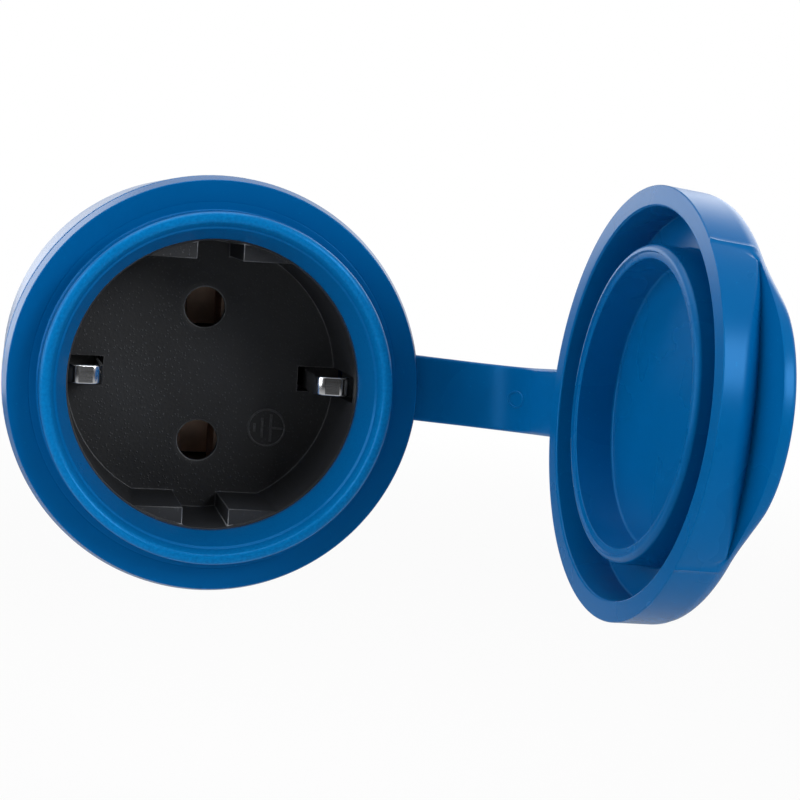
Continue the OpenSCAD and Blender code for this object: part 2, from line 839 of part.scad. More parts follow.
module insert_screws() {
    shank = floor_back_z - thread_gap - carrier_z;
    color(plated)
        on_wall()
            both_sides()
                translate([insert_screw_place[0], insert_screw_place[1], carrier_z])
                    difference() {
                        union() {
                            translate([0, 0, -insert_head_h])
                                cylinder(d = insert_head_d, h = insert_head_h);
                            cylinder(d = insert_screw_d, h = shank);
                        }
                        translate([-insert_head_d, -screw_slot[0] / 2, -insert_head_h - cut])
                            cube([insert_head_d * 2, screw_slot[0], screw_slot[1] + cut]);
                    }
}

module cable_grommet() {
    groove_r = entry_d / 2 - grommet_clearance;
    bore_r = grommet_bore_d / 2;
    flange = grommet_d / 2;
    front_z = back_plate + grommet_clearance;
    color(rubber)
        on_wall()
            rotate_extrude()
                polygon([[bore_r, 0], [flange, 0], [flange, grommet_rear - grommet_clearance],
                    [groove_r, grommet_rear - grommet_clearance], [groove_r, front_z],
                    [flange, front_z], [flange - grommet_chamfer, front_z + grommet_front],
                    [bore_r, front_z + grommet_front]]);
}

base_box();
front_collar();
neck_seal();
insert_seal();
strap_ring();
strap_end();
lid();
insert_cup();
terminal_body();
live_contact();
neutral_contact();
earth_spring();
live_terminal();
neutral_terminal();
earth_terminal();
terminal_screws();
clamp_plates();
insert_screws();
cable_grommet();
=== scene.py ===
import json
import math

import bmesh
import bpy
from mathutils import Matrix, Vector


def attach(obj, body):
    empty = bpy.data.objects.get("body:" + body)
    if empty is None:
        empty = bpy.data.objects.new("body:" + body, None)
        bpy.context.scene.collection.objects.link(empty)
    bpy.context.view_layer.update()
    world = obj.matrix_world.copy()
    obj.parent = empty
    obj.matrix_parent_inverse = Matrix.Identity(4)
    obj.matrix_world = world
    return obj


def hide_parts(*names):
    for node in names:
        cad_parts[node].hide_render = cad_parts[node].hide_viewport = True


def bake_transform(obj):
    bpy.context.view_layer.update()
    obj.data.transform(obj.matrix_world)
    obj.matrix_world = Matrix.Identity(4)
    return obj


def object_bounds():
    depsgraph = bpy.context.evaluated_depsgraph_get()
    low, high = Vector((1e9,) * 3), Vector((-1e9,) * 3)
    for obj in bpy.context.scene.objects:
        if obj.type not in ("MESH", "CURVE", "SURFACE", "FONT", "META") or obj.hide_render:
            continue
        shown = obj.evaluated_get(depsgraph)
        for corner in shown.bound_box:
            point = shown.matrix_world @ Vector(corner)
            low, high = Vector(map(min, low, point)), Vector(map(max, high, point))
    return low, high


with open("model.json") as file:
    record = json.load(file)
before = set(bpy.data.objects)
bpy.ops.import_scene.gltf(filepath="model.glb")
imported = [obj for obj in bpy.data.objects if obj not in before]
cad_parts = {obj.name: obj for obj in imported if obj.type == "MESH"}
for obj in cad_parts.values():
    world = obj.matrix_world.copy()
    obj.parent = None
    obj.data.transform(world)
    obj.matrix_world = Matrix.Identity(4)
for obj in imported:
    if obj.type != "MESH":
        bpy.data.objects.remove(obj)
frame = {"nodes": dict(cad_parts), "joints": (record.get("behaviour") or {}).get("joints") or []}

cadBox = [list(corner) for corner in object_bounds()]
scene = bpy.context.scene
scene.view_settings.view_transform = "Standard"
nodes = frame["nodes"]
hinge = frame["joints"][0]
mm = 0.001  # outlines below are in millimetres
print("frame loaded:", len(nodes), "nodes")


# shader node helpers

def addNode(tree, kind, inputs=None, **settings):
    # inputs: plain values, or sockets of other nodes to link from
    node = tree.nodes.new(kind)
    for name, value in settings.items():
        setattr(node, name, value)
    for key, value in (inputs or {}).items():
        if isinstance(value, bpy.types.NodeSocket):
            tree.links.new(value, node.inputs[key])
        else:
            node.inputs[key].default_value = value
    return node


def addMath(tree, operation, *terms):
    return addNode(tree, "ShaderNodeMath", dict(enumerate(terms)), operation=operation).outputs[0]


def mapRange(tree, value, span, result=(0.0, 1.0), **settings):
    values = {"Value": value, "From Min": span[0], "From Max": span[1], "To Min": result[0], "To Max": result[1]}
    return addNode(tree, "ShaderNodeMapRange", values, **settings).outputs[0]


def addNoise(tree, place, scale, detail):
    return addNode(tree, "ShaderNodeTexNoise", {"Vector": place, "Scale": scale, "Detail": detail}).outputs[0]


def mixColour(tree, share, first, second):
    # 6 and 7 are the mix node's two colours, and 2 is the mixed one
    return addNode(tree, "ShaderNodeMix", {"Factor": share, 6: first, 7: second}, data_type="RGBA").outputs[2]


# camera and light

view = {
    "place": (-0.0343, -0.34234, 0.02843),
    "right": (0.98038, -0.18542, 0.06687),
    "up": (-0.04809, 0.10397, 0.99342),
    "back": (-0.19115, -0.97714, 0.09301),
    "lens": 103.03, "sensor": 36,  # mm, the sensor is square
    "near": 0.01,  # m, nothing closer is drawn
}

studio = {
    "white": (1, 1, 1, 1),
    "worldLight": 0.11,
    "frontGloss": 0.03,  # what shiny faces mirror from the camera's side
    "frontSpan": (-0.92, -0.4),  # directions over which that turns white
    "floorColor": (0.86, 0.86, 0.86, 1),
    "floorDrop": 0.05,  # below the object
    "floorSize": 4.0,
    "floorLift": 0.9,  # share of the floor that the camera sees as plain white
    "whiteSpan": (0.25, 0.7),  # distances over which the floor turns white
    "floorGloss": 0.5, "darkSpan": (0.1, 0.6),  # and over which its mirror image turns dark
    "lamps": [
        # name, place, aimed at, size, watts
        ("left", (-0.28, -0.14, 0.10), (0.0, -0.04, 0.0), 0.25, 0.68),
        ("right", (0.28, -0.41, 0.19), (0.03, -0.06, 0.0), 0.18, 1.45),
        ("top", (-0.06, -0.06, 0.42), (0.02, -0.05, 0.0), 0.40, 1.1),
        ("back", (0.40, 0.35, 0.30), (0.05, -0.05, 0.0), 0.40, 0.8),
        ("edge", (-0.24, 0.40, 0.085), (-0.02, -0.04, 0.01), 0.36, 0.6),
    ],
}


def makeCamera(view):
    data = bpy.data.cameras.new("camera")
    data.sensor_width = view["sensor"]
    data.lens = view["lens"]
    data.clip_start = view["near"]
    camera = bpy.data.objects.new("camera", data)
    turn = Matrix((view["right"], view["up"], view["back"])).transposed().to_4x4()
    camera.matrix_world = Matrix.Translation(view["place"]) @ turn
    scene.collection.objects.link(camera)
    scene.camera = camera


def seenDirectly(tree):
    # 1 for what the camera sees itself, in a mirror or through glass
    path = addNode(tree, "ShaderNodeLightPath").outputs
    first = addMath(tree, "MAXIMUM", path["Is Camera Ray"], path["Is Glossy Ray"])
    return addMath(tree, "MAXIMUM", first, path["Is Transmission Ray"])


def mirrored(tree, value):
    # 1 for the camera, the given value in a mirror
    path = addNode(tree, "ShaderNodeLightPath").outputs
    return addNode(tree, "ShaderNodeMix", {"Factor": path["Is Glossy Ray"], "A": 1.0, "B": value}).outputs[0]


def fade(tree, value, span, result):
    return mapRange(tree, value, span, result, interpolation_type="SMOOTHSTEP")


def makeWorld(studio):
    world = bpy.data.worlds.new("studio")
    scene.world = world
    world.use_nodes = True
    tree = world.node_tree
    tree.nodes.clear()
    light = addNode(tree, "ShaderNodeBackground", {"Color": studio["white"], "Strength": studio["worldLight"]})
    # white round the object, dark where the photographer stands
    way = addNode(tree, "ShaderNodeTexCoord").outputs["Generated"]
    depth = addNode(tree, "ShaderNodeSeparateXYZ", {0: way}).outputs["Y"]
    gloss = fade(tree, depth, studio["frontSpan"], (studio["frontGloss"], 1.0))
    white = addNode(tree, "ShaderNodeBackground", {"Color": studio["white"], "Strength": mirrored(tree, gloss)})
    both = addNode(tree, "ShaderNodeMixShader", {0: seenDirectly(tree), 1: light.outputs[0], 2: white.outputs[0]})
    addNode(tree, "ShaderNodeOutputWorld", {0: both.outputs[0]})


def makeLamps(studio):
    for name, place, aim, size, watts in studio["lamps"]:
        data = bpy.data.lights.new(name, "AREA")
        data.size = size
        data.energy = watts
        lamp = bpy.data.objects.new(name, data)
        lamp.location = place
        lamp.rotation_euler = (Vector(aim) - Vector(place)).to_track_quat("-Z", "Y").to_euler()
        lamp.visible_camera = False
        scene.collection.objects.link(lamp)


def makeFloor(studio):
    bm = bmesh.new()
    bmesh.ops.create_grid(bm, x_segments=2, y_segments=2, size=studio["floorSize"])
    bmesh.ops.translate(bm, vec=(0, 0, cadBox[0][2] - studio["floorDrop"]), verts=bm.verts)
    mesh = bpy.data.meshes.new("floor")
    bm.to_mesh(mesh)
    bm.free()
    floor = bpy.data.objects.new("floor", mesh)
    scene.collection.objects.link(floor)
    material = bpy.data.materials.new("floor")
    material.use_nodes = True
    tree = material.node_tree
    tree.nodes.clear()
    place = addNode(tree, "ShaderNodeTexCoord").outputs["Object"]
    away = addNode(tree, "ShaderNodeVectorMath", {0: place}, operation="LENGTH").outputs["Value"]
    lift = fade(tree, away, studio["whiteSpan"], (studio["floorLift"], 1.0))
    dark = fade(tree, away, studio["darkSpan"], (studio["floorGloss"], studio["frontGloss"]))
    paper = addNode(tree, "ShaderNodeBsdfDiffuse", {"Color": studio["floorColor"]})
    glow = addNode(tree, "ShaderNodeEmission", {"Strength": mirrored(tree, dark)})
    share = addMath(tree, "MULTIPLY", seenDirectly(tree), lift)
    both = addNode(tree, "ShaderNodeMixShader", {0: share, 1: paper.outputs[0], 2: glow.outputs[0]})
    addNode(tree, "ShaderNodeOutputMaterial", {0: both.outputs[0]})
    mesh.materials.append(material)


makeCamera(view)
makeWorld(studio)
makeLamps(studio)
makeFloor(studio)
print("camera and studio ready")


# finishes

mould = {
    "driftScale": 55, "driftDetail": 3, "driftSpan": (0.3, 0.7), "driftResult": (-0.5, 0.5),
    "dotScale": 2300, "dotSpan": (0.35, 0.15),  # from a dot's edge to its middle
    "grainDetail": 4, "roughSpread": 0.16,
}

metal = {
    "streaks": (400, 400, 6000), "streakDetail": 3,
    "dullScale": 350, "dullDetail": 5, "roughSpread": 0.12,
}


def startSkin(name, sockets):
    group = bpy.data.node_groups.new(name, "ShaderNodeTree")
    for label, value in sockets.items():
        kind = "NodeSocketColor" if isinstance(value, tuple) else "NodeSocketFloat"
        group.interface.new_socket(label, in_out="INPUT", socket_type=kind).default_value = value
    for label, kind in (("Color", "NodeSocketColor"), ("Roughness", "NodeSocketFloat"), ("Height", "NodeSocketFloat")):
        group.interface.new_socket(label, in_out="OUTPUT", socket_type=kind)
    given = addNode(group, "NodeGroupInput").outputs
    place = addNode(group, "ShaderNodeTexCoord").outputs["Object"]
    return group, given, place


def makeMouldSkin(mould):
    # moulded plastic: slow colour drift, small specks, fine grain, and a painted highlight where the mesh's attribute
    # asks for it
    group, given, place = startSkin("mouldSkin", {
        "Color": (0.5, 0.5, 0.5, 1), "Drift": 0.1, "Speck Color": (0.6, 0.6, 0.6, 1), "Specks": 0.1,
        "Roughness": 0.4, "Grain": 1800.0, "Painted Highlight Color": (0.6, 0.6, 0.6, 1), "Painted Light": 0.0,
    })
    slow = addNoise(group, place, mould["driftScale"], mould["driftDetail"])
    drift = mapRange(group, slow, mould["driftSpan"], mould["driftResult"], clamp=False)
    amount = addMath(group, "MULTIPLY_ADD", drift, given["Drift"], 1.0)
    tinted = addNode(group, "ShaderNodeVectorMath", {0: given["Color"], "Scale": amount}, operation="SCALE")

    dots = addNode(group, "ShaderNodeTexVoronoi", {"Vector": place, "Scale": mould["dotScale"]}).outputs
    picked = addNode(group, "ShaderNodeSeparateColor", {0: dots["Color"]}).outputs[0]
    some = addMath(group, "LESS_THAN", picked, given["Specks"])
    speck = addMath(group, "MULTIPLY", mapRange(group, dots["Distance"], mould["dotSpan"]), some)
    speckled = mixColour(group, speck, tinted.outputs[0], given["Speck Color"])

    fine = addNoise(group, place, given["Grain"], mould["grainDetail"])
    # painted highlight, broken up by the grain
    highlighted = addMath(group, "MULTIPLY", fine, given["Painted Light"])
    addNode(group, "NodeGroupOutput", {
        "Color": mixColour(group, highlighted, speckled, given["Painted Highlight Color"]),
        "Roughness": addMath(group, "MULTIPLY_ADD", slow, mould["roughSpread"], given["Roughness"]),
        "Height": addMath(group, "ADD", fine, speck),
    })
    return group


def makeMetalSkin(metal):
    # rolled or plated metal: fine streaks along one way, slow dulling, and painted shade in the dull colour where the
    # mesh's attribute asks for it
    group, given, place = startSkin("metalSkin", {
        "Color": (0.8, 0.8, 0.8, 1), "Dull And Shade Color": (0.5, 0.5, 0.5, 1), "Dulling": 0.3,
        "Roughness": 0.15, "Painted Light": 0.0,
    })
    stretched = addNode(group, "ShaderNodeMapping", {"Vector": place, "Scale": metal["streaks"]}).outputs[0]
    streak = addNoise(group, stretched, 1, metal["streakDetail"])
    slow = addNoise(group, place, metal["dullScale"], metal["dullDetail"])
    dull = addMath(group, "MULTIPLY", slow, given["Dulling"])
    # real dulling, and painted shade where the mesh's attribute is set
    dullAndShade = addMath(group, "MAXIMUM", dull, given["Painted Light"])
    addNode(group, "NodeGroupOutput", {
        "Color": mixColour(group, dullAndShade, given["Color"], given["Dull And Shade Color"]),
        "Roughness": addMath(group, "MULTIPLY_ADD", streak, metal["roughSpread"], given["Roughness"]),
        "Height": streak,
    })
    return group


mouldSkin = makeMouldSkin(mould)
metalSkin = makeMetalSkin(metal)
bumpDepth = 0.05  # mm
blueShine = (0.1, 0.45, 1.0)


def makeFinish(name, skin, values, metallic=0.0, specular=0.5, tint=(1, 1, 1), bump=0.1, lightPainted=False):
    material = bpy.data.materials.new(name)
    material.use_nodes = True
    tree = material.node_tree
    shader = tree.nodes["Principled BSDF"]
    shader.inputs["Metallic"].default_value = metallic
    shader.inputs["Specular IOR Level"].default_value = specular
    shader.inputs["Specular Tint"].default_value = (*tint, 1)
    surface = addNode(tree, "ShaderNodeGroup", values, node_tree=skin)
    # the mesh's attribute mixes a painted highlight or painted shade into the colour
    if lightPainted:
        paintedLight = addNode(tree, "ShaderNodeAttribute", attribute_name="paintedLight")
        tree.links.new(paintedLight.outputs["Fac"], surface.inputs["Painted Light"])
    relief = addNode(tree, "ShaderNodeBump", {
        "Strength": bump, "Distance": bumpDepth * mm, "Height": surface.outputs["Height"]})
    tree.links.new(surface.outputs["Color"], shader.inputs["Base Color"])
    tree.links.new(surface.outputs["Roughness"], shader.inputs["Roughness"])
    tree.links.new(relief.outputs[0], shader.inputs["Normal"])
    return material


finishes = {
    "blueBody": makeFinish("blueBody", mouldSkin, {
        "Color": (0.0, 0.091, 0.285, 1), "Drift": 0.08, "Speck Color": (0.0, 0.115, 0.33, 1), "Specks": 0.03,
        "Roughness": 0.16, "Grain": 2600, "Painted Highlight Color": (0.003, 0.20, 0.52, 1)},
        specular=0.35, tint=blueShine, bump=0.05, lightPainted=True),
    "blueCap": makeFinish("blueCap", mouldSkin, {
        "Color": (0.0, 0.100, 0.30, 1), "Drift": 0.08, "Speck Color": (0.0, 0.125, 0.35, 1), "Specks": 0.03,
        "Roughness": 0.20, "Grain": 2200},
        specular=0.3, tint=blueShine, bump=0.05),
    "blackInsert": makeFinish("blackInsert", mouldSkin, {
        "Color": (0.017, 0.0185, 0.0215, 1), "Drift": 0.6, "Speck Color": (0.031, 0.0335, 0.038, 1), "Specks": 0.6,
        "Roughness": 0.42, "Grain": 2300, "Painted Highlight Color": (0.85, 0.87, 0.90, 1)},
        bump=0.45, lightPainted=True),
    "blackRubber": makeFinish("blackRubber", mouldSkin, {
        "Color": (0.02, 0.02, 0.021, 1), "Drift": 0.3, "Speck Color": (0.05, 0.05, 0.05, 1), "Specks": 0.1,
        "Roughness": 0.6, "Grain": 1200},
        specular=0.3, bump=0.25),
    "plating": makeFinish("plating", metalSkin, {
        "Color": (0.80, 0.81, 0.83, 1), "Dull And Shade Color": (0.06, 0.06, 0.065, 1), "Dulling": 0.16, "Roughness": 0.12},
        metallic=1.0, bump=0.05, lightPainted=True),
    "brass": makeFinish("brass", metalSkin, {
        "Color": (0.80, 0.60, 0.48, 1), "Dull And Shade Color": (0.32, 0.23, 0.19, 1), "Dulling": 0.8, "Roughness": 0.42},
        metallic=1.0, bump=0.08),
}

cadFinish = {
    "base_box": "blueBody", "front_collar": "blueBody", "strap_ring": "blueCap", "strap_end": "blueCap",
    "lid": "blueCap", "insert_cup": "blackInsert", "terminal_body": "blackInsert", "neck_seal": "blackRubber",
    "insert_seal": "blackRubber", "cable_grommet": "blackRubber", "earth_spring": "plating",
    "terminal_screws": "plating", "clamp_plates": "plating", "insert_screws": "plating",
    "live_contact": "brass", "neutral_contact": "brass", "live_terminal": "brass",
    "neutral_terminal": "brass", "earth_terminal": "brass",
}
for name, finish in cadFinish.items():
    nodes[name].data.materials.clear()
    nodes[name].data.materials.append(finishes[finish])
print("finishes set on", len(cadFinish), "nodes")


# shared mesh tools

meshing = {
    "latheWeld": 1e-6, "copyWeld": 2e-6,  # m
    "stripWeld": 1e-5,  # mm
    "onRing": 0.002,  # mm, how close a point is to a ring that it belongs to
    "flat": math.radians(0.5),  # faces that differ by less are one
    "bendStep": 0.055,  # of a strip, radians
    "stripCorner": 1.2,  # radians, edges of a strip that are sharper get rounded
    "level": 1e-6,  # mm, height difference of an edge that runs along a strip
}


def mix(a, b, share):
    return a + (b - a) * share


def ease(t):
    return t * t * (3 - 2 * t)


def ringPlace(vert):
    # distance from the socket's axis and from the wall, mm
    return math.hypot(vert.co.x, vert.co.z) / mm, -vert.co.y / mm


def newVerts(made):
    return [v for v in made if isinstance(v, bmesh.types.BMVert)]


def newFaces(made):
    return [f for f in made if isinstance(f, bmesh.types.BMFace)]


def lathe(outline, steps):
    # outline: closed, (radius, distance from the wall) in mm, turned about the socket's axis
    bm = bmesh.new()
    row = bm.verts.layers.int.new("row")
    chain = [bm.verts.new((r * mm, -z * mm, 0)) for r, z in outline]
    for number, vert in enumerate(chain):
        vert[row] = number
    edges = [bm.edges.new(pair) for pair in zip(chain, chain[1:] + chain[:1])]
    bmesh.ops.spin(bm, geom=chain + edges, cent=(0, 0, 0), axis=(0, 1, 0),
                   angle=2 * math.pi, steps=steps, use_merge=True)
    bmesh.ops.remove_doubles(bm, verts=bm.verts, dist=meshing["latheWeld"])
    bmesh.ops.delete(bm, geom=[e for e in bm.edges if not e.link_faces], context="EDGES")
    bmesh.ops.recalc_face_normals(bm, faces=bm.faces)
    return bm


def roundEdges(bm, edges, size, segments, clamp=True):
    return bmesh.ops.bevel(bm, geom=edges, offset=size, offset_type="OFFSET", segments=segments,
                           profile=0.5, affect="EDGES", material=-1, clamp_overlap=clamp)["faces"]


def roundRings(bm, corners, segments=3):
    # corners: (radius, distance from the wall, rounding) in mm
    for r, z, size in corners:
        def onCorner(vert):
            radius, depth = ringPlace(vert)
            return abs(radius - r) < meshing["onRing"] and abs(depth - z) < meshing["onRing"]
        ring = [edge for edge in bm.edges if all(onCorner(vert) for vert in edge.verts)]
        roundEdges(bm, ring, size * mm, segments)


def paintLightMask(bm, howPainted):
    # from 0, fresh, to 1
    # painted light, from 0, none, to 1, full painted highlight or painted shade
    paintedLight = bm.verts.layers.float.new("paintedLight")
    for vert in bm.verts:
        vert[paintedLight] = howPainted(vert)


def makePiece(bm, name, finish, smooth=32):
    # edges sharper than smooth, in degrees, stay sharp
    bmesh.ops.recalc_face_normals(bm, faces=bm.faces)
    mesh = bpy.data.meshes.new(name)
    bm.to_mesh(mesh)
    bm.free()
    for face in mesh.polygons:
        face.use_smooth = True
    mesh.set_sharp_from_angle(angle=math.radians(smooth))
    mesh.materials.append(finishes[finish])
    piece = bpy.data.objects.new(name, mesh)
    scene.collection.objects.link(piece)
    # flat faces stay flat between their rounded edges
    normals = piece.modifiers.new("normals", "WEIGHTED_NORMAL")
    normals.keep_sharp = True
    return piece


def roundedCopy(name, node, size, finish, sharp=35, howPainted=None):
    # the node's own form with its edges broken, size in mm
    bm = bmesh.new()
    bm.from_mesh(nodes[node].data)
    bmesh.ops.remove_doubles(bm, verts=bm.verts, dist=meshing["copyWeld"])
    bmesh.ops.dissolve_limit(bm, angle_limit=meshing["flat"], verts=bm.verts, edges=bm.edges)
    edges = [e for e in bm.edges if len(e.link_faces) == 2 and e.calc_face_angle(0) > math.radians(sharp)]
    broken = set(roundEdges(bm, edges, size * mm, segments=2, clamp=False))

    # painted highlight along the middle of each broken edge
    def edgeHighlight(vert):
        if not all(face in broken for face in vert.link_faces):
            return 0.0
        return howPainted(vert) if howPainted else 1.0

    paintLightMask(bm, edgeHighlight)
    piece = makePiece(bm, name, finish)
    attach(piece, "socket")
    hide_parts(node)


def drawStrip(bm, start, heading, width, thick, moves):
    # a flat strip drawn in the XY plane, its width along Z; moves: ("go", length) or ("turn", radius, angle)
    along = Vector(heading).to_3d().normalized()
    across = Vector((-along.y, along.x, 0)) * thick / 2
    up = Vector((0, 0, width / 2))
    place = Vector(start).to_3d()
    corners = [place - across - up, place + across - up, place + across + up, place - across + up]
    face = bm.faces.new([bm.verts.new(corner) for corner in corners])
    for move in moves:
        if move[0] == "go":
            made = bmesh.ops.extrude_face_region(bm, geom=[face])["geom"]
            bmesh.ops.translate(bm, vec=along * move[1], verts=newVerts(made))
        else:
            radius, angle = move[1:]
            side = Vector((-along.y, along.x, 0)) * math.copysign(radius, angle)
            steps = max(3, round(abs(angle) / meshing["bendStep"]))
            made = bmesh.ops.spin(bm, geom=[face], cent=face.calc_center_median() + side, axis=(0, 0, 1),
                                  angle=angle, steps=steps)["geom_last"]
            along = Matrix.Rotation(angle, 3, "Z") @ along
        face = newFaces(made)[0]
    bmesh.ops.remove_doubles(bm, verts=bm.verts, dist=meshing["stripWeld"])
    inner = [f for f in bm.faces if all(len(e.link_faces) > 2 for e in f.edges)]
    bmesh.ops.delete(bm, geom=inner, context="FACES_ONLY")
    bmesh.ops.recalc_face_normals(bm, faces=bm.faces)


def roundStrip(bm, size):
    # round the long edges of a strip
    long = [e for e in bm.edges if len(e.link_faces) == 2 and e.calc_face_angle(0) > meshing["stripCorner"]
            and abs(e.verts[0].co.z - e.verts[1].co.z) < meshing["level"]]
    roundEdges(bm, long, size, segments=3)


# collar: flange, raised lip and neck

collar = {
    "steps": 224,
    "outline": [
        # radius and distance from the wall, mm
        (21.7, 21.8), (24.75, 21.8), (24.75, 34.8), (28.2, 34.8), (27.6, 37.2),
        (24.85, 37.2), (24.75, 37.15), (24.65, 37.15), (24.55, 37.2), (23.55, 37.2),
        (23.55, 42.0), (22.2, 42.0), (21.55, 40.55), (21.25, 40.35), (19.75, 36.3),
        (19.75, 35.3), (21.7, 35.3),
    ],
    "rounded": [
        (28.2, 34.8, 0.2), (27.6, 37.2, 0.16), (23.55, 37.2, 0.3), (23.55, 42.0, 0.75), (22.2, 42.0, 0.4),
        (21.55, 40.55, 0.1), (21.25, 40.35, 0.1), (19.75, 36.3, 0.15),
    ],
    "highlighted": 41.6,  # the lip is painted pale in front of this, a painted highlight
    "slopeFrom": 36.0, "slopeWithin": 22.1, "slopeHighlight": 0.3,  # and painted a little paler on its inner slope, also a painted highlight
}


def makeCollar(collar):
    def lipHighlight(vert):
        radius, depth = ringPlace(vert)
        if depth > collar["highlighted"]:
            return 1.0
        onSlope = depth > collar["slopeFrom"] and radius < collar["slopeWithin"]
        return collar["slopeHighlight"] if onSlope else 0.0

    bm = lathe(collar["outline"], collar["steps"])
    roundRings(bm, collar["rounded"], segments=4)
    # painted highlight on the lip's front and a weaker one on its inner slope
    paintLightMask(bm, lipHighlight)
    piece = makePiece(bm, "collarShell", "blueBody")
    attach(piece, "socket")
    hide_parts("front_collar")


makeCollar(collar)
print("collar done")


# cap: skirt, sealing ring and thumb tab, modelled closed and then swung open

cap = {
    "open": math.radians(95.6),
    "steps": 480,
    "rim": 37.5,  # distance of the closed rim from the wall, mm
    "skirt": 26.5, "draft": 0.2, "shoulder": 2.5, "skirtHeight": 5.0, "crown": 0.42, "edge": 0.12,
    "skirtInner": 23.9, "ring": 19.4, "ringInner": 17.6, "depth": 5.3,
    "ringStep": 0.25, "ringSlope": (-0.1, 0.05), "ringChamfer": 0.5,
    "tabReach": 3.5, "tabSpan": math.radians(45), "tabRound": 0.55, "tabDrop": 0.07,
    "tabTip": 6.0, "tabBand": 5.75,  # height of the lower edge of the tab's band at its tips and in the middle
    "tabSharp": 0.9, "tabSoft": 0.15,  # shares of the reach over which its corner sharpens and its rows begin
    "scoop": 1.2, "scoopFrom": 2.2, "scoopTo": 4.8,  # hollow for the fingertip below the tab
    "scoopCurve": 2.2, "flankCurve": 0.8,
    "plainRow": 1.0, "tabRow": 1.6,  # heights of the last plain row and below the tab's first
    "scoopRows": 8, "flankRows": 5, "edgeRows": 9,
    "crownRows": (0.93, 0.7, 0.45, 0.2, 0.0),  # shares of the top's radius
    "mouldLine": 0.1, "mouldNub": 0.2, "mouldWidth": 0.3, "mouldEnd": 6.2, "nubEnd": 1.0,
}


def capSide(cap, h):
    return cap["skirt"] - cap["draft"] * h / cap["skirtHeight"]


def tabRadiusAt(cap, angle):
    # distance from the axis to the tab's edge: a round nose with straight sides that leave the skirt smoothly
    foot = capSide(cap, cap["skirtHeight"])
    span = cap["tabSpan"]
    if abs(angle) >= span:
        return foot
    nosePlace = (cap["skirt"] + cap["tabReach"] - foot) / (1 - math.cos(span))
    noseRadius = cap["skirt"] + cap["tabReach"] - nosePlace
    turn = math.atan2(noseRadius * math.sin(span), nosePlace + noseRadius * math.cos(span))
    if abs(angle) >= turn:
        return foot / math.cos(span - abs(angle))
    return nosePlace * math.cos(angle) + math.sqrt(noseRadius ** 2 - (nosePlace * math.sin(angle)) ** 2)


def capOutline(cap, reach, corner, h):
    # radius of the outside at a height: skirt, then a rounded corner
    top = cap["skirtHeight"] + cap["shoulder"]
    side = reach + capSide(cap, h) - capSide(cap, cap["skirtHeight"])
    rise = max(0.0, h - (top - corner))
    return side - corner + math.sqrt(max(0.0, corner ** 2 - rise ** 2))


def capColumn(cap, angle):
    # radius and height of each row of the outside, from the rim to the middle of the top
    top = cap["skirtHeight"] + cap["shoulder"]
    foot = capSide(cap, cap["skirtHeight"])
    reach = tabRadiusAt(cap, angle)
    share = math.sqrt(max(0.0, reach - foot) / (cap["skirt"] + cap["tabReach"] - foot))
    corner = mix(cap["shoulder"], cap["tabRound"], ease(min(1.0, share / cap["tabSharp"])))
    soft = min(1.0, share / cap["tabSoft"])
    rows = [(cap["skirt"] - cap["edge"], 0.0), (cap["skirt"], cap["edge"]),
            (capSide(cap, cap["plainRow"]), cap["plainRow"])]

    # into the hollow, then out along the tab's underside
    begin = mix(cap["tabTip"], cap["scoopFrom"], share)
    crease = mix(cap["tabTip"], cap["scoopTo"], share)
    high = mix(cap["tabTip"], cap["tabBand"], share)
    deep = capOutline(cap, foot, cap["shoulder"], crease) - cap["scoop"] * share
    count = cap["scoopRows"] + cap["flankRows"]
    for i in range(count):
        h = mix(cap["tabRow"], cap["tabTip"], (i + 1) / count)
        plain = (capOutline(cap, foot, cap["shoulder"], h), h)
        if i < cap["scoopRows"]:
            t = i / (cap["scoopRows"] - 1)
            h = mix(begin, crease, t)
            sunk = cap["scoop"] * share * t ** cap["scoopCurve"]
            tab = (capOutline(cap, foot, cap["shoulder"], h) - sunk, h)
        else:
            t = (i - cap["scoopRows"] + 1) / cap["flankRows"]
            edge = capOutline(cap, reach, corner, high)
            tab = (mix(deep, edge, t), mix(crease, high, t ** cap["flankCurve"]))
        rows.append([mix(a, b, soft) for a, b in zip(plain, tab)])

    # up the edge and round the corner
    edgeTop = top - cap["tabDrop"] * share
    bend = math.asin(max(0.0, min(1.0, (high - (edgeTop - corner)) / corner)))
    upright = max(0.0, edgeTop - corner - high)
    length = upright + corner * (math.pi / 2 - bend)
    for i in range(cap["edgeRows"]):
        run = length * (i + 1) / cap["edgeRows"]
        if run < upright:
            rows.append((reach, high + run))
        else:
            a = bend + (run - upright) / corner
            rows.append((reach - corner + corner * math.cos(a), edgeTop - corner + corner * math.sin(a)))
    for t in cap["crownRows"]:
        rows.append(((foot - cap["shoulder"]) * t, top + cap["crown"] * (1 - t * t)))
    return rows


